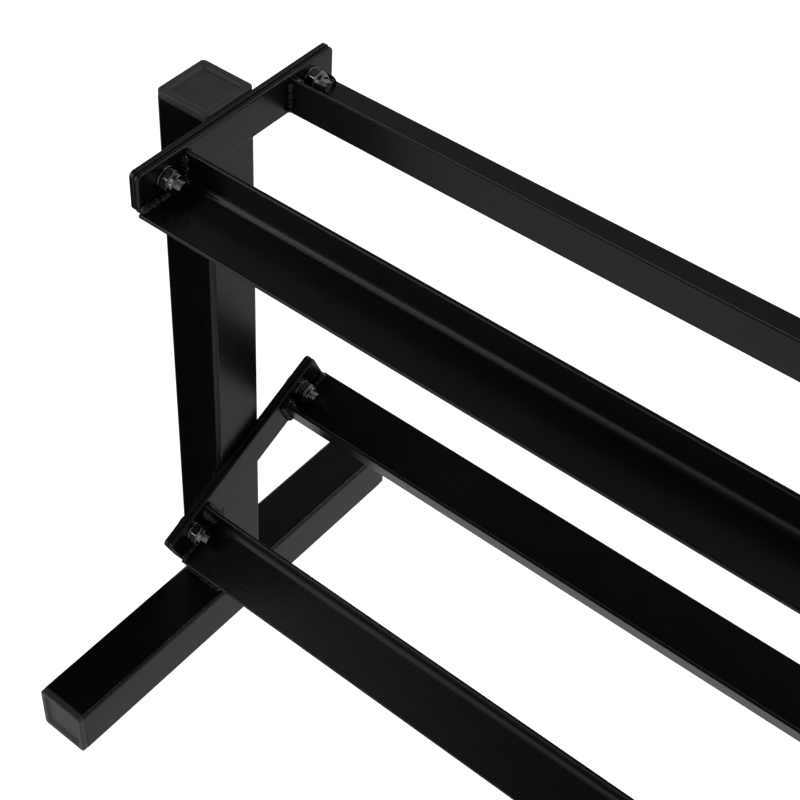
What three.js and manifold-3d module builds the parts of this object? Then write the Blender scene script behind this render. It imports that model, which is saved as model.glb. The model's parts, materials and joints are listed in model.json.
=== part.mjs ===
// Two-tier dumbbell rack in black powder-coated steel.
//
// Each end is a square tube foot with a square tube upright welded on it and plastic caps in the open
// ends. A flat bracket plate is welded across the upright for each tier. A tier is a welded frame of two
// steel angles between two end plates, and its end plates are bolted to the brackets. The upper tier is
// level and the lower one leans down towards the front.
//
// Millimetres. +X runs along the rack, +Y to its back and +Z up. The origin is on the floor, under the
// middle of the rack's length and of the feet.

import * as THREE from 'three';
import { mergeVertices } from 'three/addons/utils/BufferGeometryUtils.js';
import Module from 'manifold-3d';

// ---- Driving dimensions ----------------------------------------------------------------------------

const RACK_LENGTH = 1100; // over the outer faces of the two uprights
const TUBE_SIZE = 50;
const TUBE_WALL = 2;
const TUBE_CORNER = 4; // outer corner radius
const FOOT_LENGTH = 410; // without its caps
const UPRIGHT_TOP = 585; // height of the upright's sawn end

const CAP_FLANGE = 6; // thickness of the part of a cap that shows
const CAP_INSET = 0.2; // a cap's flange is this much smaller than the tube on each side
const CAP_RIM = 5; // width of the flat rim around the sunk panel
const CAP_BEVEL = 2; // width of the slope from the rim to the panel
const CAP_SINK = 1.5; // depth of the panel below the rim
const CAP_PLUG_DEPTH = 14; // how far the skirt reaches into the tube
const CAP_PLUG_WALL = 2;
const CAP_PLUG_CLEARANCE = 0.3;
const CAP_PLUG_CORNER = 1; // rounding inside the skirt

const PLATE_LENGTH = 204; // bracket and end plates, front to back
const PLATE_HEIGHT = 33;
const PLATE_THICKNESS = 4;
const PLATE_CORNER = 4.5;
const BRACKET_PROUD = 4; // the upper bracket's top edge stands this far above the upright's sawn end
const END_PLATE_DROP = 1; // an end plate sits this much lower than its bracket

const HANDLE_GAP = 107; // between the lips of a tier's two rails
const RAIL_SEAT = 50; // the level leg, which the dumbbell heads rest on
const RAIL_LIP = 30; // the standing leg, which the handles pass over
const RAIL_THICKNESS = 3;
const RAIL_FILLET = 6; // inside the corner
const RAIL_TOE = 1.5; // rounding at the inner edge of each leg's end
const RAIL_HEEL = 1; // rounding outside the corner

const HOLE_SPREAD = 76; // from the middle of a plate to each bolt
const HOLE_HEIGHT = 17.5; // above the bracket plate's lower edge
const HOLE_RADIUS = 5.5; // the end plates' holes are round
const NECK_HOLE = 10.6; // the brackets' holes are square, and hold the bolt's neck still
const NECK_SIZE = 10;
const NECK_LENGTH = 3.8;
const NECK_CORNER = 0.6;
const HEAD_RADIUS = 12; // carriage bolt, with a low domed head
const HEAD_HEIGHT = 6;
const HEAD_EDGE = 0.8; // height of the head's upright edge, below the dome
const SHANK_RADIUS = 5;
const SHANK_CHAMFER = 1;
const SHANK_PROUD = 5; // thread that shows beyond the nut
const HEX_ACROSS_FLATS = 17;
const HEX_CHAMFER_SLOPE = 0.5; // about 27 degrees
const NUT_HEX_HEIGHT = 6.5;
const NUT_HEIGHT = 10; // with the round collar that holds the locking ring
const NUT_COLLAR_RADIUS = 7.2;
const NUT_COLLAR_FLARE = 0.6; // the collar widens by this much where it leaves the hexagon
const NUT_COLLAR_CHAMFER = 1.4;
const NUT_BORE_RADIUS = 5.3;
const WASHER_RADIUS = 9.5;
const WASHER_BORE_RADIUS = 5.5;
const WASHER_THICKNESS = 2;

const GAP = 0.3; // left between faces that touch, so that no two solids overlap
const OVERLAP = 1; // how far two parts of one solid run into each other, or a cutter runs past a face
const CORNER_STEPS = 3; // segments in each quarter circle
const ROUND_STEPS = 16; // segments around a bolt or a washer
const DOME_STEPS = 4; // segments from the middle of a bolt's head to its edge

const UPPER_TIER_Y = -0.5;
const LOWER_TIER_Y = 8.5;
const LOWER_TIER_HEIGHT = 204;
const LOWER_TIER_TILT = 25.2; // degrees

// Where the middle of each tier's bracket plates' lower edge lies, and how far the tier leans forward.
const TIERS = [
  { name: 'upper', y: UPPER_TIER_Y, z: UPRIGHT_TOP + BRACKET_PROUD - PLATE_HEIGHT, tilt: 0 },
  { name: 'lower', y: LOWER_TIER_Y, z: LOWER_TIER_HEIGHT, tilt: THREE.MathUtils.degToRad(LOWER_TIER_TILT) },
];
const ENDS = [
  { name: 'left', side: -1 },
  { name: 'right', side: 1 },
];

const UPRIGHT_X = (RACK_LENGTH - TUBE_SIZE) / 2;
const BRACKET_X = RACK_LENGTH / 2 - TUBE_SIZE - GAP; // outer face of a bracket plate
const END_PLATE_X = BRACKET_X - PLATE_THICKNESS - GAP; // outer face of an end plate
const RAIL_END_X = END_PLATE_X - PLATE_THICKNESS - GAP; // sawn end of a rail

// ---- Materials -------------------------------------------------------------------------------------

function material(color, roughness, metalness) {
  return new THREE.MeshStandardMaterial({ color, roughness, metalness });
}

const powderCoat = () => material(0x161617, 0.45, 0.2);
const capPlastic = () => material(0x323335, 0.5, 0);
const blackSteel = () => material(0x1b1b1c, 0.28, 0.6);

// ---- Outlines and solids ---------------------------------------------------------------------------

const wasm = await Module();
wasm.setup();

function toSolid(geometry) {
  const plain = geometry.clone();
  plain.deleteAttribute('normal');
  plain.deleteAttribute('uv');
  const merged = mergeVertices(plain, 1e-5);
  const mesh = new wasm.Mesh({
    numProp: 3,
    vertProperties: new Float32Array(merged.attributes.position.array),
    triVerts: new Uint32Array(merged.index.array),
  });
  return new wasm.Manifold(mesh);
}

function toGeometry(solid) {
  const mesh = solid.getMesh();
  const geometry = new THREE.BufferGeometry();
  geometry.setAttribute('position', new THREE.BufferAttribute(new Float32Array(mesh.vertProperties), 3));
  geometry.setIndex(new THREE.BufferAttribute(new Uint32Array(mesh.triVerts), 1));
  geometry.computeVertexNormals();
  return geometry;
}

// Draws a rectangle with round corners, centred on (centreX, centreY), into a shape or a hole's path.
function drawRoundedRectangle(path, width, height, radius, centreX = 0, centreY = 0) {
  const right = centreX + width / 2;
  const top = centreY + height / 2;
  const left = right - width;
  const bottom = top - height;
  path.moveTo(left + radius, bottom);
  path.lineTo(right - radius, bottom);
  path.absarc(right - radius, bottom + radius, radius, -Math.PI / 2, 0);
  path.lineTo(right, top - radius);
  path.absarc(right - radius, top - radius, radius, 0, Math.PI / 2);
  path.lineTo(left + radius, top);
  path.absarc(left + radius, top - radius, radius, Math.PI / 2, Math.PI);
  path.lineTo(left, bottom + radius);
  path.absarc(left + radius, bottom + radius, radius, Math.PI, Math.PI * 1.5);
  return path;
}

function roundedSquare(size, radius) {
  return drawRoundedRectangle(new THREE.Shape(), size, size, radius);
}

// Extrudes a shape from z = 0 up to z = length.
function extrude(shape, length) {
  const options = { depth: length, steps: 1, bevelEnabled: false, curveSegments: CORNER_STEPS };
  return new THREE.ExtrudeGeometry(shape, options);
}

// Extrudes a shape drawn in the Y-Z plane from x = start towards +X.
function extrudeAlongX(shape, start, length) {
  const geometry = extrude(shape, length);
  geometry.applyMatrix4(new THREE.Matrix4().set(0, 0, 1, start, 1, 0, 0, 0, 0, 1, 0, 0, 0, 0, 0, 1));
  return geometry;
}

// Turns a profile of [radius, height] points about the Z axis.
function turned(profile, steps = ROUND_STEPS) {
  return new THREE.LatheGeometry(profile.map(([r, z]) => new THREE.Vector2(r, z)), steps).rotateX(Math.PI / 2);
}

// ---- Tubes and caps --------------------------------------------------------------------------------

function squareTube(length) {
  const shape = roundedSquare(TUBE_SIZE, TUBE_CORNER);
  shape.holes.push(drawRoundedRectangle(
    new THREE.Path(), TUBE_SIZE - 2 * TUBE_WALL, TUBE_SIZE - 2 * TUBE_WALL, TUBE_CORNER - TUBE_WALL,
  ));
  return extrude(shape, length);
}

// A frustum with a square outline, wider at the top, used to sink the cap's panel.
function squareFrustum(bottomSize, topSize, bottomZ, topZ) {
  const quarter = Math.PI / 4;
  const geometry = new THREE.CylinderGeometry(
    topSize * Math.SQRT1_2, bottomSize * Math.SQRT1_2, topZ - bottomZ, 4,
  );
  return geometry.rotateY(quarter).rotateX(Math.PI / 2).translate(0, 0, (topZ + bottomZ) / 2);
}

// The flange stands on z = 0 and the skirt hangs below it.
function tubeCap() {
  const flangeSize = TUBE_SIZE - 2 * CAP_INSET;
  const flange = toSolid(extrude(roundedSquare(flangeSize, TUBE_CORNER), CAP_FLANGE));
  const panelSize = flangeSize - 2 * (CAP_RIM + CAP_BEVEL);
  const slope = CAP_BEVEL / CAP_SINK;
  const sunk = toSolid(squareFrustum(
    panelSize, panelSize + 2 * slope * (CAP_SINK + OVERLAP), CAP_FLANGE - CAP_SINK, CAP_FLANGE + OVERLAP,
  ));
  const skirtSize = TUBE_SIZE - 2 * (TUBE_WALL + CAP_PLUG_CLEARANCE);
  const skirtShape = roundedSquare(skirtSize, TUBE_CORNER - TUBE_WALL);
  skirtShape.holes.push(drawRoundedRectangle(
    new THREE.Path(), skirtSize - 2 * CAP_PLUG_WALL, skirtSize - 2 * CAP_PLUG_WALL, CAP_PLUG_CORNER,
  ));
  const skirt = toSolid(extrude(skirtShape, CAP_PLUG_DEPTH + OVERLAP).translate(0, 0, -CAP_PLUG_DEPTH));
  return toGeometry(flange.add(skirt).subtract(sunk));
}

// ---- Plates and rails ------------------------------------------------------------------------------

// A plate from x = 0 to its thickness, its lower edge centred on the origin.
function tierPlate(holeHeight, holeSize, holeCorner) {
  const shape = drawRoundedRectangle(
    new THREE.Shape(), PLATE_LENGTH, PLATE_HEIGHT, PLATE_CORNER, 0, PLATE_HEIGHT / 2,
  );
  for (const y of [-HOLE_SPREAD, HOLE_SPREAD]) {
    shape.holes.push(drawRoundedRectangle(new THREE.Path(), holeSize, holeSize, holeCorner, y, holeHeight));
  }
  return extrudeAlongX(shape, 0, PLATE_THICKNESS);
}

const bracketPlate = () => tierPlate(HOLE_HEIGHT, NECK_HOLE, NECK_CORNER);
const endPlate = () => tierPlate(HOLE_HEIGHT + END_PLATE_DROP, 2 * HOLE_RADIUS, HOLE_RADIUS);

// An angle whose seat points to +Y (way = 1) or -Y (way = -1) and whose lip stands at y = 0.
function angleRail(way) {
  const shape = new THREE.Shape();
  const point = (y, z) => [way * y, z];
  const t = RAIL_THICKNESS;
  const arc = (cy, cz, radius, from, to, clockwise = false) => {
    const mirror = (angle) => (way > 0 ? angle : Math.PI - angle);
    shape.absarc(way * cy, cz, radius, mirror(from), mirror(to), way > 0 ? clockwise : !clockwise);
  };
  const quarter = Math.PI / 2;
  shape.moveTo(...point(RAIL_HEEL, 0));
  shape.lineTo(...point(RAIL_SEAT, 0));
  shape.lineTo(...point(RAIL_SEAT, t - RAIL_TOE));
  arc(RAIL_SEAT - RAIL_TOE, t - RAIL_TOE, RAIL_TOE, 0, quarter);
  shape.lineTo(...point(t + RAIL_FILLET, t));
  arc(t + RAIL_FILLET, t + RAIL_FILLET, RAIL_FILLET, 3 * quarter, 2 * quarter, true);
  shape.lineTo(...point(t, RAIL_LIP - RAIL_TOE));
  arc(t - RAIL_TOE, RAIL_LIP - RAIL_TOE, RAIL_TOE, 0, quarter);
  shape.lineTo(...point(0, RAIL_LIP));
  shape.lineTo(...point(0, RAIL_HEEL));
  arc(RAIL_HEEL, RAIL_HEEL, RAIL_HEEL, 2 * quarter, 3 * quarter);
  return extrudeAlongX(shape, -RAIL_END_X, 2 * RAIL_END_X);
}

// ---- Fasteners, each along +Z and starting at z = 0 -------------------------------------------------

function hexPrism(height) {
  const circumradius = HEX_ACROSS_FLATS / Math.sqrt(3);
  return toSolid(new THREE.CylinderGeometry(circumradius, circumradius, height, 6)
    .rotateX(Math.PI / 2).translate(0, 0, height / 2));
}

// A turned blank that takes the corners off both ends of the hexagon.
function chamferBlank(height) {
  const face = HEX_ACROSS_FLATS / 2;
  const reach = HEX_ACROSS_FLATS / Math.sqrt(3) + OVERLAP;
  const drop = (reach - face) * HEX_CHAMFER_SLOPE;
  return toSolid(turned([
    [0, 0],
    [face, 0],
    [reach, drop],
    [reach, height - drop],
    [face, height],
    [0, height],
  ]));
}

// A carriage bolt: the dome, the square neck under it, and the shank.
function carriageBolt(gripLength) {
  const rise = HEAD_HEIGHT - HEAD_EDGE;
  const domeRadius = (HEAD_RADIUS ** 2 + rise ** 2) / (2 * rise);
  const spread = Math.asin(HEAD_RADIUS / domeRadius);
  const profile = [];
  for (let i = 0; i <= DOME_STEPS; i++) {
    const angle = spread * i / DOME_STEPS;
    profile.push([domeRadius * Math.sin(angle), domeRadius * (1 - Math.cos(angle))]);
  }
  profile[0][0] = 0;
  profile.push([HEAD_RADIUS, HEAD_HEIGHT], [0, HEAD_HEIGHT]);
  const head = toSolid(turned(profile));
  const neck = toSolid(extrude(roundedSquare(NECK_SIZE, NECK_CORNER), NECK_LENGTH + OVERLAP)
    .translate(0, 0, HEAD_HEIGHT - OVERLAP));
  const end = HEAD_HEIGHT + gripLength + NUT_HEIGHT + SHANK_PROUD;
  const shank = toSolid(turned([
    [0, HEAD_HEIGHT],
    [SHANK_RADIUS, HEAD_HEIGHT],
    [SHANK_RADIUS, end - SHANK_CHAMFER],
    [SHANK_RADIUS - SHANK_CHAMFER, end],
    [0, end],
  ]));
  return toGeometry(head.add(neck).add(shank));
}

function lockNut() {
  const hexagon = hexPrism(NUT_HEX_HEIGHT).intersect(chamferBlank(NUT_HEX_HEIGHT));
  const collar = toSolid(turned([
    [0, NUT_HEX_HEIGHT - OVERLAP],
    [NUT_COLLAR_RADIUS + NUT_COLLAR_FLARE, NUT_HEX_HEIGHT - OVERLAP],
    [NUT_COLLAR_RADIUS, NUT_HEX_HEIGHT + NUT_COLLAR_FLARE],
    [NUT_COLLAR_RADIUS, NUT_HEIGHT - NUT_COLLAR_CHAMFER],
    [NUT_COLLAR_RADIUS - NUT_COLLAR_CHAMFER, NUT_HEIGHT],
    [0, NUT_HEIGHT],
  ]));
  const bore = toSolid(turned([
    [0, -OVERLAP],
    [NUT_BORE_RADIUS, -OVERLAP],
    [NUT_BORE_RADIUS, NUT_HEIGHT + OVERLAP],
    [0, NUT_HEIGHT + OVERLAP],
  ]));
  return toGeometry(hexagon.add(collar).subtract(bore));
}

function washer() {
  return turned([
    [WASHER_BORE_RADIUS, 0],
    [WASHER_RADIUS, 0],
    [WASHER_RADIUS, WASHER_THICKNESS],
    [WASHER_BORE_RADIUS, WASHER_THICKNESS],
    [WASHER_BORE_RADIUS, 0],
  ]);
}

// ---- Assembly --------------------------------------------------------------------------------------

const rack = new THREE.Group();

function place(parent, name, geometry, surface, position = [0, 0, 0], rotation = [0, 0, 0]) {
  const mesh = new THREE.Mesh(geometry, surface);
  mesh.name = name;
  mesh.position.set(...position);
  mesh.rotation.set(...rotation);
  parent.add(mesh);
}

function addEndFrame({ name, side }) {
  const frame = new THREE.Group();
  frame.position.x = side * UPRIGHT_X;
  rack.add(frame);
  const middle = TUBE_SIZE / 2;
  const half = FOOT_LENGTH / 2;
  const quarter = Math.PI / 2;
  place(frame, `${name}_foot_tube`, squareTube(FOOT_LENGTH), powderCoat(), [0, half, middle], [quarter, 0, 0]);
  place(frame, `${name}_upright_tube`, squareTube(UPRIGHT_TOP - TUBE_SIZE - GAP), powderCoat(),
    [0, 0, TUBE_SIZE + GAP]);
  place(frame, `${name}_upright_cap`, tubeCap(), capPlastic(), [0, 0, UPRIGHT_TOP]);
  place(frame, `${name}_foot_cap_front`, tubeCap(), capPlastic(), [0, -half, middle], [quarter, 0, 0]);
  place(frame, `${name}_foot_cap_rear`, tubeCap(), capPlastic(), [0, half, middle], [-quarter, 0, 0]);
}

// One bolt with its washer and nut. The stack starts at the bolt head and runs towards mid-rack.
function addFastener(tierGroup, prefix, side, y) {
  const stack = new THREE.Group();
  stack.position.set(side * (BRACKET_X + GAP + HEAD_HEIGHT), y, HOLE_HEIGHT);
  stack.rotation.y = -side * Math.PI / 2;
  tierGroup.add(stack);
  const washerZ = HEAD_HEIGHT + GAP + 2 * PLATE_THICKNESS + GAP + GAP;
  const nutZ = washerZ + WASHER_THICKNESS + GAP;
  place(stack, `${prefix}_bolt`, carriageBolt(nutZ - HEAD_HEIGHT), blackSteel());
  place(stack, `${prefix}_washer`, washer(), blackSteel(), [0, 0, washerZ]);
  place(stack, `${prefix}_nut`, lockNut(), blackSteel(), [0, 0, nutZ]);
}

function addTier({ name, y, z, tilt }) {
  const group = new THREE.Group();
  group.position.set(0, y, z);
  group.rotation.x = tilt;
  rack.add(group);
  for (const [where, way] of [['front', -1], ['rear', 1]]) {
    place(group, `${name}_${where}_rail`, angleRail(way), powderCoat(),
      [0, way * HANDLE_GAP / 2, -END_PLATE_DROP]);
  }
  for (const end of ENDS) {
    const bracketX = end.side * (BRACKET_X - PLATE_THICKNESS / 2) - PLATE_THICKNESS / 2;
    const plateX = end.side * (END_PLATE_X - PLATE_THICKNESS / 2) - PLATE_THICKNESS / 2;
    place(group, `${end.name}_${name}_bracket_plate`, bracketPlate(), powderCoat(), [bracketX, 0, 0]);
    place(group, `${end.name}_${name}_end_plate`, endPlate(), powderCoat(), [plateX, 0, -END_PLATE_DROP]);
    for (const [where, way] of [['front', -1], ['rear', 1]]) {
      addFastener(group, `${end.name}_${name}_${where}`, end.side, way * HOLE_SPREAD);
    }
  }
}

ENDS.forEach(addEndFrame);
TIERS.forEach(addTier);

export default rack;
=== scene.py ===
import json
import math

import bmesh
import bpy
from mathutils import Matrix, Vector
from mathutils.noise import noise


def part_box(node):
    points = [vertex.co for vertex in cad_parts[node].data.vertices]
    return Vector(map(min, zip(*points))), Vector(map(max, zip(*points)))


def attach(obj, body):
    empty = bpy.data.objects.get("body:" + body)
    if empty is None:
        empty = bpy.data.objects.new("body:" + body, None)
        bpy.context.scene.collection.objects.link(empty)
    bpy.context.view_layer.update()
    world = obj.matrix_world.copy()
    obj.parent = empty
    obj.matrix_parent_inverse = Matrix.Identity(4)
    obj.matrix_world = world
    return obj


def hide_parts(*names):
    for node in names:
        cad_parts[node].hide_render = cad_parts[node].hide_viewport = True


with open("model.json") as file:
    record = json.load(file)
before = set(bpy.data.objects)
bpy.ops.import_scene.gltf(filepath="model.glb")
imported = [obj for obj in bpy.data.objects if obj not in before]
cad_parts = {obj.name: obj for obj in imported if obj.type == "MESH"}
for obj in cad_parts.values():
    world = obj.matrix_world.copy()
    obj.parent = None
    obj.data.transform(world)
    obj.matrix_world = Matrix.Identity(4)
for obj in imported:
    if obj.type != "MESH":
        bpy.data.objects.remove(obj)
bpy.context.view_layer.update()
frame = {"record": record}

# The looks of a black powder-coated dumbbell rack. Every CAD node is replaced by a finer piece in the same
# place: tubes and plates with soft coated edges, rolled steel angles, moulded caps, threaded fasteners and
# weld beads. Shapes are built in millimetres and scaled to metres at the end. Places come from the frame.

MM = 0.001
BODY = "root"
QUARTER = math.pi / 2

# ---- Sizes that a node's box doesn't give, in millimetres ---------------------------------------------

TUBE_WALL = 2
TUBE_CORNER = 4
TUBE_END_ROUNDING = 0.4

CAP_CORNER = 4
CAP_RIM = 5
CAP_BEVEL = 2
CAP_SINK = 2.2
CAP_TOP_ROUNDING = 1.4
CAP_FOOT_ROUNDING = 0.5
CAP_PANEL_CORNER = 0.8
CAP_BLEND = 0.35  # eases the two edges of the slope down to the panel
CAP_BLEND_DEPTH = 0.08
CAP_SKIRT_INSET = 2.1
CAP_SKIRT_WALL = 2

PLATE_CORNER = 4.5
PLATE_EDGE_ROUNDING = 0.6
END_PLATE_FRONT_ROUNDING = 1.8  # the end plates' edges are rounder on the side that faces mid-rack
BOLT_HOLE_RADIUS = 5.5
NECK_HOLE = 10.6  # the bracket plates' holes are square
NECK_HOLE_CORNER = 0.6

RAIL_SEAT = 50
RAIL_LIP = 30
RAIL_THICKNESS = 3
RAIL_FILLET = 6
RAIL_TOE = 1.5
RAIL_HEEL = 1
RAIL_TOE_BACK = 0.4

WELD_LEG = 6.5
LIP_WELD_LEG = 8
GAP_WELD_LEG = 5
SEAT_WELD = (1.5, 32)  # where the bead on a seat runs, from the seat's edge
WELD_RIPPLE = 1.9
WELD_STEPS_PER_RIPPLE = 7
WELD_SIDES = 14
WELD_SINK = 0.22  # of the leg: how far the bead's middle stands off both walls
WELD_REACH = 0.62  # of the leg: the bead's radius

HEX_ACROSS_FLATS = 17
HEX_CORNER_ROUNDING = 0.4
HEX_CHAMFER_SLOPE = 0.5
HEAD_RADIUS = 12
HEAD_HEIGHT = 6
HEAD_EDGE = 0.8
NECK_SIZE = 10
NECK_LENGTH = 3.8
NECK_CORNER = 0.6
SHANK_RADIUS = 5
SHANK_CHAMFER = 1.2
THREAD_LENGTH = 20
THREAD_PITCH = 2
THREAD_DEPTH = 1.0
THREAD_FLANK = 0.42  # the part of a pitch from a crest to the flat of the root
NUT_HEX_HEIGHT = 6.5
NUT_COLLAR_RADIUS = 7.2
NUT_RING_INNER = 5.05
NUT_RING_OUTER = 5.9
NUT_RING_SINK = 0.7
WASHER_BORE_RADIUS = 5.5
WASHER_ROUNDING = 0.45
WASHER_BEVEL = 0.15

SHARP_ANGLE = math.radians(38)


# ---- Places, read from the frame ----------------------------------------------------------------------

def box_mm(node):
    low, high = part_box(node)
    return low / MM, high / MM


def tier_place(tier):
    """The matrix from a tier's own level frame, centred on its bracket plates, to the rack's frame."""
    low, high = box_mm(f"left_{tier}_bracket_plate")
    centre = (low + high) / 2
    centre.x = 0
    mounts = {mount["name"]: mount for mount in frame["record"]["mounts"]}
    seat_normal = Vector(mounts[f"{tier}_front_seat"]["axis"])
    tilt = math.atan2(-seat_normal.y, seat_normal.z)
    return Matrix.Translation(centre) @ Matrix.Rotation(tilt, 4, "X")


TIERS = {tier: tier_place(tier) for tier in ("upper", "lower")}
SIDES = {"left": -1, "right": 1}
WAYS = {"front": -1, "rear": 1}


def level_box(node):
    """The box of one of the upper tier's nodes, in the tier's own frame; the lower tier is the same."""
    low, high = box_mm(node)
    origin = TIERS["upper"].translation
    return low - origin, high - origin


# ---- Mesh helpers -------------------------------------------------------------------------------------

def arc(centre_a, centre_b, radius, start, end, steps):
    """Points on an arc, ends included, as (a, b) pairs."""
    turn = [start + (end - start) * step / steps for step in range(steps + 1)]
    return [(centre_a + radius * math.cos(t), centre_b + radius * math.sin(t)) for t in turn]


def rounded_rectangle(width, height, radius, steps=6):
    """The outline of a rectangle with round corners, counter-clockwise, centred on the origin."""
    points = []
    for corner, (way_a, way_b) in enumerate([(1, 1), (-1, 1), (-1, -1), (1, -1)]):
        centre_a = way_a * (width / 2 - radius)
        centre_b = way_b * (height / 2 - radius)
        points += arc(centre_a, centre_b, radius, corner * QUARTER, (corner + 1) * QUARTER, steps)
    return points


def skin(bm, rings, closed=False):
    """Joins successive rings of points; the path of rings closes on itself or gets flat ends."""
    rows = [[bm.verts.new(point) for point in ring] for ring in rings]
    count = len(rows[0])
    following = rows[1:] + rows[:1] if closed else rows[1:]
    for near, far in zip(rows, following):
        for i in range(count):
            j = (i + 1) % count
            bm.faces.new((near[i], near[j], far[j], far[i]))
    if not closed:
        bm.faces.new(rows[0][::-1])
        bm.faces.new(rows[-1])


def finish_piece(name, bm, place, surface, slot_name, *replaced):
    """Makes a piece of the rack from a mesh in millimetres, and puts it in its place."""
    bmesh.ops.recalc_face_normals(bm, faces=bm.faces)
    bm.transform(Matrix.Scale(MM, 4) @ place)
    mesh = bpy.data.meshes.new(name)
    bm.to_mesh(mesh)
    bm.free()
    mesh.materials.append(surface)
    mesh.shade_smooth()
    mesh.set_sharp_from_angle(angle=SHARP_ANGLE)
    piece = bpy.data.objects.new(name, mesh)
    bpy.context.scene.collection.objects.link(piece)
    evener = piece.modifiers.new("even_normals", "WEIGHTED_NORMAL")
    evener.keep_sharp = True
    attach(piece, BODY)
    if replaced:
        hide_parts(*replaced)
    return piece


# ---- Materials ----------------------------------------------------------------------------------------

class Nodes:
    """A material under construction: its node tree and the few kinds of node that these surfaces use."""

    def __init__(self, name):
        self.material = bpy.data.materials.new(name)
        self.material.use_nodes = True
        self.tree = self.material.node_tree
        self.shader = self.tree.nodes["Principled BSDF"]
        self.position = self.tree.nodes.new("ShaderNodeTexCoord").outputs["Object"]

    def noise(self, feature_mm, detail=2, roughness=0.5):
        """Noise with features of about this size."""
        node = self.tree.nodes.new("ShaderNodeTexNoise")
        node.inputs["Scale"].default_value = 1 / (feature_mm * MM)
        node.inputs["Detail"].default_value = detail
        node.inputs["Roughness"].default_value = roughness
        self.tree.links.new(self.position, node.inputs["Vector"])
        return node.outputs["Fac"]

    def ramp(self, value, low, high, low_in=0.35, high_in=0.65):
        """Spreads a value between two numbers."""
        node = self.tree.nodes.new("ShaderNodeMapRange")
        node.inputs["From Min"].default_value = low_in
        node.inputs["From Max"].default_value = high_in
        node.inputs["To Min"].default_value = low
        node.inputs["To Max"].default_value = high
        self.tree.links.new(value, node.inputs["Value"])
        return node.outputs["Result"]

    def paint(self, pattern, dark, light):
        """A base colour that wanders between two colours with a pattern."""
        node = self.tree.nodes.new("ShaderNodeMix")
        node.data_type = "RGBA"
        node.inputs["A"].default_value = (*dark, 1)
        node.inputs["B"].default_value = (*light, 1)
        self.tree.links.new(self.ramp(pattern, 0, 1), node.inputs["Factor"])
        self.set("Base Color", node.outputs["Result"])

    def bumps(self, *layers):
        """Relief from (height in mm, pattern) layers, one on top of another."""
        normal = None
        for height_mm, pattern in layers:
            node = self.tree.nodes.new("ShaderNodeBump")
            node.inputs["Distance"].default_value = height_mm * MM
            self.tree.links.new(pattern, node.inputs["Height"])
            if normal:
                self.tree.links.new(normal, node.inputs["Normal"])
            normal = node.outputs["Normal"]
        self.set("Normal", normal)

    def set(self, socket, value):
        """Sets a constant on the shader's own socket, or links an output to it."""
        if isinstance(value, bpy.types.NodeSocket):
            self.tree.links.new(value, self.shader.inputs[socket])
        else:
            self.shader.inputs[socket].default_value = value


def powder_coat(name, smoothest, roughest):
    """Semi-gloss black powder coat: a fine grain on a soft orange peel."""
    nodes = Nodes(name)
    grain = nodes.noise(0.9, detail=3, roughness=0.6)
    peel = nodes.noise(5, detail=1)
    cloud = nodes.noise(30, detail=2)
    nodes.paint(cloud, (0.0034, 0.0034, 0.0036), (0.0054, 0.0054, 0.0057))
    nodes.set("Roughness", nodes.ramp(grain, smoothest, roughest))
    nodes.bumps((0.02, peel), (0.012, grain))
    return nodes.material


def cap_plastic():
    """Moulded black polyethylene: greyer than the coat, satin, with a faint spark-eroded texture."""
    nodes = Nodes("cap_plastic")
    grain = nodes.noise(0.7, detail=3, roughness=0.6)
    flow = nodes.noise(14, detail=2)
    nodes.paint(flow, (0.062, 0.063, 0.066), (0.075, 0.076, 0.080))
    nodes.set("Roughness", nodes.ramp(grain, 0.3, 0.4))
    nodes.set("Specular IOR Level", 0.35)
    nodes.bumps((0.04, flow), (0.02, grain))
    return nodes.material


def black_steel():
    """Black plated steel: dark, glossy and slightly uneven."""
    nodes = Nodes("black_steel")
    grain = nodes.noise(0.5, detail=2)
    patch = nodes.noise(4, detail=3)
    nodes.paint(patch, (0.18, 0.18, 0.183), (0.30, 0.30, 0.304))
    nodes.set("Metallic", 1)
    nodes.set("Roughness", nodes.ramp(patch, 0.08, 0.18))
    nodes.bumps((0.01, grain))
    return nodes.material


def lock_ring_nylon():
    """The dark nylon ring that grips the thread."""
    nodes = Nodes("lock_ring_nylon")
    wear = nodes.noise(1.2, detail=2)
    nodes.paint(wear, (0.010, 0.010, 0.011), (0.022, 0.022, 0.023))
    nodes.set("Roughness", nodes.ramp(wear, 0.35, 0.5))
    nodes.bumps((0.02, wear))
    return nodes.material


COAT = powder_coat("powder_coat", 0.23, 0.33)
WELD_COAT = powder_coat("powder_coat_on_welds", 0.06, 0.14)  # it flows out smoother over the beads
PLASTIC = cap_plastic()
STEEL = black_steel()
NYLON = lock_ring_nylon()


# ---- Tubes and caps, along +Z -------------------------------------------------------------------------

def square_tube(size, length):
    """A hollow square tube from z = 0 to its length, with its sawn ends softened by the coat."""
    bm = bmesh.new()
    soft = TUBE_END_ROUNDING
    outer = arc(soft, soft, soft, 3 * QUARTER, 2 * QUARTER, 3)
    path = [(inset, z) for inset, z in outer]
    path += [(inset, length - z) for inset, z in reversed(outer)]
    path += [(TUBE_WALL - inset, length - z) for inset, z in outer]
    path += [(TUBE_WALL - inset, z) for inset, z in reversed(outer)]
    rings = []
    for inset, z in path:
        outline = rounded_rectangle(size - 2 * inset, size - 2 * inset, TUBE_CORNER - inset)
        rings.append([(a, b, z) for a, b in outline])
    skin(bm, rings, closed=True)
    return bm


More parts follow.
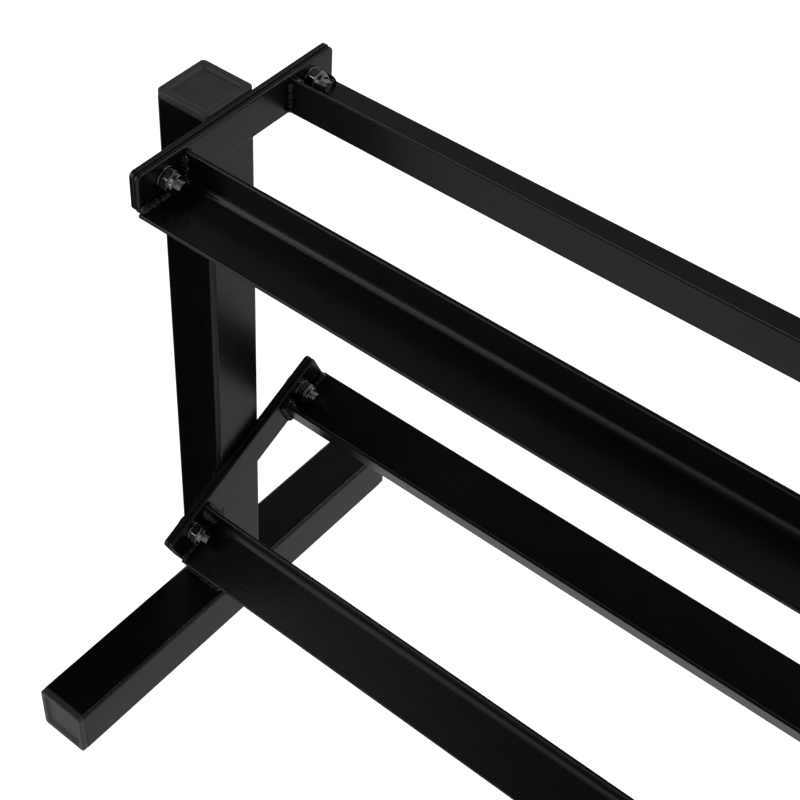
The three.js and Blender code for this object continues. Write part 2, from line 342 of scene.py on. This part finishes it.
def tube_cap(size, flange, depth):
    """A moulded cap: the flange stands on z = 0, and the skirt hangs below it."""
    bm = bmesh.new()
    top = CAP_TOP_ROUNDING
    foot = CAP_FOOT_ROUNDING
    panel = CAP_RIM + CAP_BEVEL
    panel_z = flange - CAP_SINK
    blend = CAP_BLEND
    blend_drop = blend * CAP_SINK / CAP_BEVEL
    path = [
        (panel + blend, panel_z),
        (panel, panel_z + CAP_BLEND_DEPTH),
        (panel - blend, panel_z + blend_drop),
        (CAP_RIM + blend, flange - blend_drop),
        (CAP_RIM, flange - CAP_BLEND_DEPTH),
        (CAP_RIM - blend, flange),
    ]
    path += arc(top, flange - top, top, QUARTER, 2 * QUARTER, 5)
    path += arc(foot, foot, foot, 2 * QUARTER, 3 * QUARTER, 3)
    skirt = CAP_SKIRT_INSET
    path += [(skirt, 0), (skirt, -depth + 1), (skirt + 0.6, -depth)]
    path += [(skirt + CAP_SKIRT_WALL, -depth), (skirt + CAP_SKIRT_WALL, 0)]
    rings = []
    for inset, z in path:
        corner = max(CAP_CORNER - inset, CAP_PANEL_CORNER)
        outline = rounded_rectangle(size - 2 * inset, size - 2 * inset, corner)
        rings.append([(a, b, z) for a, b in outline])
    skin(bm, rings)
    return bm


def tipped(place, turn):
    """Turns +Z towards the front by an angle about X, and moves the origin to a place."""
    return Matrix.Translation(place) @ Matrix.Rotation(turn, 4, "X")


def add_end_frame(side):
    foot_low, foot_high = box_mm(f"{side}_foot_tube")
    foot_centre = (foot_low + foot_high) / 2
    foot_front = (foot_centre.x, foot_low.y, foot_centre.z)
    foot_rear = (foot_centre.x, foot_high.y, foot_centre.z)
    size = foot_high.x - foot_low.x
    foot = square_tube(size, foot_high.y - foot_low.y)
    finish_piece(f"{side}_foot_tube_fine", foot, tipped(foot_rear, QUARTER), COAT, "powder_coat",
                 f"{side}_foot_tube")

    low, high = box_mm(f"{side}_upright_tube")
    centre = (low + high) / 2
    upright = square_tube(size, high.z - low.z)
    finish_piece(f"{side}_upright_tube_fine", upright, tipped((centre.x, centre.y, low.z), 0), COAT,
                 "powder_coat", f"{side}_upright_tube")

    cap_low, cap_high = box_mm(f"{side}_upright_cap")
    flange_size = cap_high.x - cap_low.x
    flange = cap_high.z - high.z
    depth = high.z - cap_low.z
    seats = {
        "upright_cap": tipped((centre.x, centre.y, high.z), 0),
        "foot_cap_front": tipped(foot_front, QUARTER),
        "foot_cap_rear": tipped(foot_rear, -QUARTER),
    }
    for cap, seat in seats.items():
        finish_piece(f"{side}_{cap}_moulded", tube_cap(flange_size, flange, depth), seat, PLASTIC,
                     "cap_plastic", f"{side}_{cap}")


# ---- Plates and rails, in a tier's own frame ----------------------------------------------------------

def round_hole(inset):
    """The outline of an end plate's bolt hole, wider by the inset."""
    return arc(0, 0, BOLT_HOLE_RADIUS + inset, 0, 4 * QUARTER, 32)[:-1]


def square_hole(inset):
    """The outline of a bracket plate's hole for the bolt's neck, wider by the inset."""
    size = NECK_HOLE + 2 * inset
    return rounded_rectangle(size, size, NECK_HOLE_CORNER + inset)


def flat_plate(low, high, hole, hole_centres, low_rounding, high_rounding):
    """A plate across X with round corners, holes at (y, z) centres, and its own rounding on each side."""
    bm = bmesh.new()
    thickness = high.x - low.x
    layers = arc(low_rounding, low_rounding, low_rounding, 3 * QUARTER, 2 * QUARTER, 5)
    layers += [(inset, thickness - x) for inset, x in
               arc(high_rounding, high_rounding, high_rounding, 2 * QUARTER, 3 * QUARTER, 5)]
    middle = (low + high) / 2
    width, height = high.y - low.y, high.z - low.z

    def outer_loop(inset):
        outline = rounded_rectangle(width - 2 * inset, height - 2 * inset, PLATE_CORNER - inset, 8)
        return [(middle.y + a, middle.z + b) for a, b in outline]

    def hole_loop(y, z):
        return lambda inset: [(y + a, z + b) for a, b in hole(min(inset, PLATE_EDGE_ROUNDING))]

    first_edges, last_edges = [], []
    for loop in [outer_loop] + [hole_loop(y, z) for y, z in hole_centres]:
        rows = [[bm.verts.new((low.x + x, y, z)) for y, z in loop(inset)] for inset, x in layers]
        count = len(rows[0])
        for near, far in zip(rows, rows[1:]):
            for i in range(count):
                j = (i + 1) % count
                bm.faces.new((near[i], near[j], far[j], far[i]))
        for row, edges in ((rows[0], first_edges), (rows[-1], last_edges)):
            edges += [bm.edges.get((row[i], row[(i + 1) % count])) for i in range(count)]
    for edges in (first_edges, last_edges):
        bmesh.ops.triangle_fill(bm, use_beauty=True, use_dissolve=False, edges=edges)
    return bm


def rail_outline(way):
    """A rolled angle's section as (y, z): the lip stands at y = 0 and the seat points along way."""
    t = RAIL_THICKNESS
    back = RAIL_TOE_BACK
    points = arc(RAIL_HEEL, RAIL_HEEL, RAIL_HEEL, 2 * QUARTER, 3 * QUARTER, 4)
    points += arc(RAIL_SEAT - back, back, back, 3 * QUARTER, 4 * QUARTER, 3)
    points += arc(RAIL_SEAT - RAIL_TOE, t - RAIL_TOE, RAIL_TOE, 0, QUARTER, 6)
    points += arc(t + RAIL_FILLET, t + RAIL_FILLET, RAIL_FILLET, 3 * QUARTER, 2 * QUARTER, 8)
    points += arc(t - RAIL_TOE, RAIL_LIP - RAIL_TOE, RAIL_TOE, 0, QUARTER, 6)
    points += arc(back, RAIL_LIP - back, back, QUARTER, 2 * QUARTER, 3)
    return [(way * y, z) for y, z in points]


def add_rails(tier):
    for where, way in WAYS.items():
        low, high = level_box(f"upper_{where}_rail")
        lip_y = high.y if way < 0 else low.y
        outline = rail_outline(way)
        bm = bmesh.new()
        skin(bm, [[(x, lip_y + y, low.z + z) for y, z in outline] for x in (low.x, high.x)])
        finish_piece(f"{tier}_{where}_rail_rolled", bm, TIERS[tier], COAT, "powder_coat",
                     f"{tier}_{where}_rail")


def add_plates(tier, side):
    centres = []
    for where in WAYS:
        low, high = level_box(f"{side}_upper_{where}_bolt")
        centres.append(((low.y + high.y) / 2, (low.z + high.z) / 2))
    inner = END_PLATE_FRONT_ROUNDING
    outer = PLATE_EDGE_ROUNDING
    kinds = {
        "bracket_plate": (square_hole, outer, outer),
        "end_plate": (round_hole, outer, inner) if side == "left" else (round_hole, inner, outer),
    }
    for kind, (hole, low_rounding, high_rounding) in kinds.items():
        low, high = level_box(f"{side}_upper_{kind}")
        bm = flat_plate(low, high, hole, centres, low_rounding, high_rounding)
        finish_piece(f"{side}_{tier}_{kind}_fine", bm, TIERS[tier], COAT, "powder_coat",
                     f"{side}_{tier}_{kind}")


# ---- Welds --------------------------------------------------------------------------------------------

def weld_bead(bm, start, end, wall_a, wall_b, leg=WELD_LEG):
    """A rippled bead along the corner from start to end, between walls that leave it along two vectors."""
    start, end = Vector(start), Vector(end)
    wall_a, wall_b = Vector(wall_a), Vector(wall_b)
    run = end - start
    length = run.length
    along = run.normalized()
    seed = start * 0.37 + end * 0.11
    sink, reach = WELD_SINK * leg, WELD_REACH * leg
    count = max(8, round(length / (WELD_RIPPLE / WELD_STEPS_PER_RIPPLE)))
    rings = []
    for i in range(count + 1):
        s = length * i / count
        warp = s + 0.7 * noise(seed + Vector((s * 0.25, 0, 0)))
        phase = (warp / WELD_RIPPLE) % 1
        ripple = math.sin(math.pi * phase) ** 0.6
        from_end = min(s, length - s) / reach
        taper = math.sqrt(max(0.0, 1 - (1 - min(from_end, 1)) ** 2))
        swell = 1 + 0.35 * noise(seed + Vector((0, s * 0.3, 0)))
        radius = max(0.05, reach * taper * swell * (0.8 + 0.2 * ripple))
        wander = 0.35 * noise(seed + Vector((0, 0, s * 0.4)))
        centre = start + along * s + wall_a * (sink + wander) + wall_b * (sink - wander)
        ring = []
        for k in range(WELD_SIDES):
            angle = 4 * QUARTER * k / WELD_SIDES
            outward = wall_a * math.cos(angle) + wall_b * math.sin(angle)
            facing = max(0.0, math.cos(angle - QUARTER / 2))
            spot = Vector((s * 1.1, math.cos(angle) * 1.5, math.sin(angle) * 1.5))
            lump = 1 + 0.18 * noise(seed + spot)
            lag = -along * (0.55 * (1 - facing)) * taper
            ring.append(centre + outward * radius * lump + lag)
        rings.append(ring)
    skin(bm, rings)


def add_rail_welds(tier, side):
    """The beads that join both rails' ends to an end plate, inside and outside each corner."""
    toward = -SIDES[side]
    plate_low, plate_high = level_box(f"{side}_upper_end_plate")
    face_x = plate_high.x if side == "left" else plate_low.x
    inward = (toward, 0, 0)
    bm = bmesh.new()
    for where, way in WAYS.items():
        low, high = level_box(f"upper_{where}_rail")
        lip_y = high.y if way < 0 else low.y
        seat_y = lip_y + way * RAIL_SEAT
        outside_y = lip_y + way * RAIL_THICKNESS
        seat_z = low.z + RAIL_THICKNESS
        top_z = low.z + RAIL_LIP
        # Beside the lip, on the seat's side and on the side of the gap.
        weld_bead(bm, (face_x, outside_y, seat_z + 1), (face_x, outside_y, top_z - 1), inward, (0, way, 0),
                  LIP_WELD_LEG)
        weld_bead(bm, (face_x, lip_y, low.z + 2), (face_x, lip_y, top_z - 1), inward, (0, -way, 0),
                  GAP_WELD_LEG)
        # Along the seat, above the outer part and below nearly all of it.
        from_y, to_y = (seat_y - way * place for place in SEAT_WELD)
        weld_bead(bm, (face_x, from_y, seat_z), (face_x, to_y, seat_z), inward, (0, 0, 1))
        from_y, to_y = lip_y + way * 4, seat_y - way * 4
        weld_bead(bm, (face_x, from_y, low.z), (face_x, to_y, low.z), inward, (0, 0, -1))
    finish_piece(f"{side}_{tier}_rail_welds", bm, TIERS[tier], WELD_COAT, "powder_coat")


def add_bracket_welds(tier, side):
    """The upright beads that join a bracket plate to the front and back corners of its upright."""
    plate_low, plate_high = level_box(f"{side}_upper_bracket_plate")
    tube_low, tube_high = level_box(f"{side}_upright_tube")
    face_x = plate_low.x if side == "left" else plate_high.x
    bm = bmesh.new()
    middle_y = TIERS["upper"].translation.y - TIERS[tier].translation.y
    for way, tube_y in ((-1, tube_low.y), (1, tube_high.y)):
        corner_y = tube_y + middle_y - way * 1.2
        weld_bead(bm, (face_x, corner_y, plate_low.z + 2), (face_x, corner_y, plate_high.z - 4),
                  (SIDES[side], 0, 0), (0, way, 0))
    finish_piece(f"{side}_{tier}_bracket_welds", bm, TIERS[tier], WELD_COAT, "powder_coat")


def add_foot_welds(side):
    """The beads around the bottom of an upright, on top of its foot."""
    low, high = box_mm(f"{side}_upright_tube")
    top_z = box_mm(f"{side}_foot_tube")[1].z
    bm = bmesh.new()
    corner = TUBE_CORNER
    for way, y in ((-1, low.y), (1, high.y)):
        weld_bead(bm, (low.x + corner, y, top_z), (high.x - corner, y, top_z), (0, way, 0), (0, 0, 1))
    finish_piece(f"{side}_foot_welds", bm, Matrix.Identity(4), WELD_COAT, "powder_coat")


# ---- Fasteners, along +Z from the bolt's head ---------------------------------------------------------

def hex_radius(angle):
    """The distance from a hexagon's middle to its edge, with its corners slightly rounded."""
    apothem = HEX_ACROSS_FLATS / 2
    sector = 2 * QUARTER / 3
    off_flat = (angle + sector / 2) % sector - sector / 2
    return min(apothem / math.cos(off_flat), apothem / math.cos(sector / 2) - HEX_CORNER_ROUNDING)


def neck_radius(angle):
    """The same for a bolt's square neck."""
    half = NECK_SIZE / 2
    off_flat = (angle + QUARTER / 2) % QUARTER - QUARTER / 2
    return min(half / math.cos(off_flat), half * math.sqrt(2) - NECK_CORNER * (math.sqrt(2) - 1))


def circle(radius, z, steps, limit=None):
    """A ring of points about Z, kept inside an outline when a limit is given."""
    ring = []
    for k in range(steps):
        angle = 4 * QUARTER * k / steps
        r = min(radius, limit(angle)) if limit else radius
        ring.append((r * math.cos(angle), r * math.sin(angle), z))
    return ring


def turned(bm, profile, steps=72):
    """Turns a closed profile of (radius, z) or (radius, z, limit) points about Z."""
    skin(bm, [circle(point[0], point[1], steps, *point[2:]) for point in profile], closed=True)


def chamfer(z_face, way, steps=6):
    """The profile points of a hexagon's end chamfer, from the end face at z_face along way."""
    flat = HEX_ACROSS_FLATS / 2
    corner = flat / math.cos(QUARTER / 3)
    radii = [flat - 0.25] + [flat + (corner - flat) * step / steps for step in range(steps + 1)]
    return [(r, z_face + way * max(0.0, r - flat + 0.25) * HEX_CHAMFER_SLOPE, hex_radius) for r in radii]


def thread_ring(z, to_end, steps):
    """One slice of a rolled thread, at a height and this far from the bolt's chamfered end."""
    limit = SHANK_RADIUS - max(0.0, SHANK_CHAMFER - to_end)
    ring = []
    for k in range(steps):
        turn = k / steps
        phase = (z / THREAD_PITCH - turn) % 1
        groove = min(1.0, abs(phase - 0.5) / THREAD_FLANK)
        radius = min(SHANK_RADIUS - THREAD_DEPTH * groove, limit)
        angle = 4 * QUARTER * turn
        ring.append((radius * math.cos(angle), radius * math.sin(angle), z))
    return ring


def carriage_bolt(length):
    """A bolt with its domed head on z = 0, a square neck under it and a rolled thread at its far end."""
    steps = 72
    rise = HEAD_HEIGHT - HEAD_EDGE
    dome = (HEAD_RADIUS ** 2 + rise ** 2) / (2 * rise)
    spread = math.asin(HEAD_RADIUS / dome)
    slopes = [spread * i / 10 for i in range(1, 11)]
    head = [(dome * math.sin(t), dome * (1 - math.cos(t))) for t in slopes]
    head += arc(HEAD_RADIUS - 0.3, HEAD_HEIGHT - 0.3, 0.3, 0, QUARTER, 3)
    neck_end = HEAD_HEIGHT + NECK_LENGTH
    rings = [circle(r, z, steps) for r, z in head]
    rings += [circle(NECK_SIZE, z, steps, neck_radius) for z in (HEAD_HEIGHT, neck_end - 0.3)]
    rings += [circle(SHANK_RADIUS, z, steps) for z in (neck_end, length - THREAD_LENGTH)]
    samples = round(THREAD_LENGTH / THREAD_PITCH * 10)
    for i in range(1, samples + 1):
        to_end = THREAD_LENGTH * (1 - i / samples)
        rings.append(thread_ring(length - to_end, to_end, steps))
    rings.append(circle((SHANK_RADIUS - SHANK_CHAMFER) / 2, length, steps))
    bm = bmesh.new()
    skin(bm, rings)
    return bm


def lock_nut(height, bore):
    """A hexagon with a round collar, rolled over at its top."""
    bm = bmesh.new()
    collar = NUT_COLLAR_RADIUS
    roll = 0.9
    profile = [(bore, 0.4), (bore + 0.4, 0)]
    profile += chamfer(0, 1)
    profile += chamfer(NUT_HEX_HEIGHT, -1)[::-1]
    profile += [(collar + 0.5, NUT_HEX_HEIGHT + 0.15), (collar + 0.1, NUT_HEX_HEIGHT + 0.6)]
    profile += arc(collar - roll, height - roll, roll, 0, QUARTER, 6)
    profile += arc(NUT_RING_OUTER + 0.2, height - 0.2, 0.2, QUARTER, 2 * QUARTER, 2)
    profile += [(NUT_RING_OUTER, height - 2.4), (bore, height - 2.4)]
    turned(bm, profile)
    return bm


def lock_ring(height):
    """The locking ring inside a nut's collar."""
    bm = bmesh.new()
    top = height - NUT_RING_SINK
    bottom = height - 2.3
    profile = [(NUT_RING_INNER, bottom), (NUT_RING_OUTER - 0.05, bottom), (NUT_RING_OUTER - 0.05, top)]
    profile += [(NUT_RING_OUTER - 0.3, top + 0.15), (NUT_RING_INNER + 0.2, top)]
    profile += [(NUT_RING_INNER, top - 0.25)]
    turned(bm, profile, steps=48)
    return bm


def washer(radius, thickness):
    """A punched washer, its rim rounded on one side more than the other."""
    bm = bmesh.new()
    bore, soft, bevel = WASHER_BORE_RADIUS, WASHER_ROUNDING, WASHER_BEVEL
    profile = [(bore, bevel), (bore + bevel, 0), (radius - bevel, 0), (radius, bevel)]
    profile += arc(radius - soft, thickness - soft, soft, 0, QUARTER, 5)
    profile += arc(bore + soft, thickness - soft, soft, QUARTER, 2 * QUARTER, 4)
    turned(bm, profile)
    return bm


def add_fastener(tier, side, where):
    inward = -SIDES[side]

    def stack(kind):
        """Where a fastener's piece starts along X, going inwards, and its length and radius."""
        low, high = level_box(f"{side}_upper_{where}_{kind}")
        begin = low.x if inward > 0 else high.x
        return begin, high.x - low.x, (high.y - low.y) / 2

    low, high = level_box(f"{side}_upper_{where}_bolt")
    axis = Matrix.Translation((0, (low.y + high.y) / 2, (low.z + high.z) / 2))
    lie = Matrix.Rotation(inward * QUARTER, 4, "Y")

    def add(kind, name, bm, surface, slot_name, turn_deg, replaced=True):
        shift = Matrix.Translation((stack(kind)[0], 0, 0))
        turn = Matrix.Rotation(math.radians(turn_deg), 4, "Z")
        nodes = [f"{side}_{tier}_{where}_{kind}"] if replaced else []
        finish_piece(f"{side}_{tier}_{where}_{name}", bm, TIERS[tier] @ axis @ shift @ lie @ turn, surface,
                     slot_name, *nodes)

    # Every nut is tightened to an angle of its own, in degrees.
    spin = 37 * (1 + list(TIERS).index(tier)) + 23 * WAYS[where] + 11 * SIDES[side] + 19
    add("bolt", "bolt_threaded", carriage_bolt(stack("bolt")[1]), STEEL, "black_fastener", 0)
    _, thickness, radius = stack("washer")
    add("washer", "washer_fine", washer(radius, thickness), STEEL, "black_fastener", 0)
    nut_height = stack("nut")[1]
    add("nut", "nut_fine", lock_nut(nut_height, SHANK_RADIUS + 0.02), STEEL, "black_fastener", spin)
    add("nut", "nut_lock_ring", lock_ring(nut_height), NYLON, "black_fastener", 0, replaced=False)


# ---- The rack -----------------------------------------------------------------------------------------

for side in SIDES:
    add_end_frame(side)
    add_foot_welds(side)
for tier in TIERS:
    add_rails(tier)
    for side in SIDES:
        add_plates(tier, side)
        add_rail_welds(tier, side)
        add_bracket_welds(tier, side)
        for where in WAYS:
            add_fastener(tier, side, where)


# ---- Floor, light and camera, in metres ---------------------------------------------------------------

FLOOR_SIZE = 16
FLOOR_GLOW = 1.0
HORIZON = 0.46
ZENITH = 0.035
FADE_START = 0.15  # sines of the heights over the horizon between which the room darkens
FADE_END = 0.88
NADIR = 0.38
NADIR_FADE = (-0.85, -0.62)  # sines between which the room reaches its value straight below
FLAG_X = -0.575  # the black flag stands just outside the left end frame, ahead of its upright
FLAG_Y = (-0.20, -0.03)
FLAG_Z = (0.0, 0.56)
STRIP_DISTANCE = 2.6
STRIP_LENGTH = 2.6
LEFT_FASTENERS = (-0.56, 0, 0.42)  # the middle of the left end's bolts
STRIPS = {  # name: target, direction from it, width and power
    "rail_strip": ((0, 0, 0.3), (-0.456, -0.729, 0.51), 0.22, 1.6),
    "fastener_strip": (LEFT_FASTENERS, (-0.5, -0.7, 0.5), 0.3, 5),
    "edge_strip": (LEFT_FASTENERS, (0.4, 0.52, 0.76), 0.3, 10),
}
CAMERA_AZIMUTH = math.radians(41.28)
CAMERA_ELEVATION = math.radians(46.33)
CAMERA_PLACE = (0.1665, -0.7081, 1.3056)
CAMERA_LENS = 76.39
CAMERA_SHIFT_X = 0.151


def make_floor():
    """A pale light table that shines at the camera only: the room and the strips light the rack."""
    bm = bmesh.new()
    bmesh.ops.create_grid(bm, x_segments=8, y_segments=8, size=FLOOR_SIZE / 2)
    mesh = bpy.data.meshes.new("floor")
    bm.to_mesh(mesh)
    bm.free()
    nodes = Nodes("pale_floor")
    nodes.set("Base Color", (0.85, 0.85, 0.85, 1))
    nodes.set("Roughness", 0.9)
    nodes.set("Emission Color", (1, 1, 1, 1))
    nodes.set("Emission Strength", FLOOR_GLOW)
    mesh.materials.append(nodes.material)
    floor = bpy.data.objects.new("floor", mesh)
    floor.location.z = -0.2 * MM
    floor.visible_glossy = False
    floor.visible_diffuse = False
    bpy.context.scene.collection.objects.link(floor)


def make_world():
    """A white room that grows dark towards its ceiling, and a little darker straight below."""
    world = bpy.data.worlds.new("studio")
    bpy.context.scene.world = world
    world.use_nodes = True
    tree = world.node_tree
    background = tree.nodes["Background"]
    direction = tree.nodes.new("ShaderNodeTexCoord").outputs["Generated"]
    split = tree.nodes.new("ShaderNodeSeparateXYZ")
    tree.links.new(direction, split.inputs["Vector"])
    strength = None
    stretches = ((FADE_START, FADE_END, HORIZON, ZENITH), (*NADIR_FADE, NADIR - HORIZON, 0))
    for low, high, at_low, at_high in stretches:
        fade = tree.nodes.new("ShaderNodeMapRange")
        fade.interpolation_type = "SMOOTHSTEP"
        fade.inputs["From Min"].default_value = low
        fade.inputs["From Max"].default_value = high
        fade.inputs["To Min"].default_value = at_low
        fade.inputs["To Max"].default_value = at_high
        tree.links.new(split.outputs["Z"], fade.inputs["Value"])
        if strength is None:
            strength = fade.outputs["Result"]
        else:
            total = tree.nodes.new("ShaderNodeMath")
            total.operation = "ADD"
            tree.links.new(strength, total.inputs[0])
            tree.links.new(fade.outputs["Result"], total.inputs[1])
            strength = total.outputs["Value"]
    tree.links.new(strength, background.inputs["Strength"])
    background.inputs["Color"].default_value = (1, 1, 1, 1)


def make_flag():
    """A black card that only reflections see: it keeps the front of the left upright dark."""
    bm = bmesh.new()
    corners = [(FLAG_X, y, z) for y, z in zip(FLAG_Y + FLAG_Y[::-1], (FLAG_Z[0],) * 2 + (FLAG_Z[1],) * 2)]
    bm.faces.new([bm.verts.new(corner) for corner in corners])
    mesh = bpy.data.meshes.new("flag")
    bm.to_mesh(mesh)
    bm.free()
    nodes = Nodes("black_card")
    nodes.set("Base Color", (0, 0, 0, 1))
    nodes.set("Specular IOR Level", 0)
    mesh.materials.append(nodes.material)
    flag = bpy.data.objects.new("flag", mesh)
    flag.visible_camera = False
    flag.visible_diffuse = False
    flag.visible_shadow = False
    bpy.context.scene.collection.objects.link(flag)


def make_strip_light(name, target, direction, width, power):
    """A long narrow softbox, aimed at its target, whose length follows a turn about X."""
    light = bpy.data.lights.new(name, "AREA")
    light.shape = "RECTANGLE"
    light.size = width
    light.size_y = STRIP_LENGTH
    light.energy = power
    outward = Vector(direction).normalized()
    across = Vector((0, outward.z, -outward.y)).cross(outward).normalized()
    along = outward.cross(across)
    box = bpy.data.objects.new(name, light)
    turn = Matrix((across, along, outward)).transposed().to_4x4()
    box.matrix_world = Matrix.Translation(Vector(target) + outward * STRIP_DISTANCE) @ turn
    box.visible_camera = False
    bpy.context.scene.collection.objects.link(box)


def make_camera():
    camera = bpy.data.cameras.new("camera")
    camera.lens = CAMERA_LENS
    camera.sensor_width = 36
    camera.shift_x = CAMERA_SHIFT_X
    camera.clip_end = 50
    holder = bpy.data.objects.new("camera", camera)
    holder.location = CAMERA_PLACE
    holder.rotation_euler = (QUARTER - CAMERA_ELEVATION, 0, CAMERA_AZIMUTH)
    bpy.context.scene.collection.objects.link(holder)
    bpy.context.scene.camera = holder


make_floor()
make_world()
make_flag()
for name, settings in STRIPS.items():
    make_strip_light(name, *settings)
make_camera()
bpy.context.scene.view_settings.view_transform = "Standard"
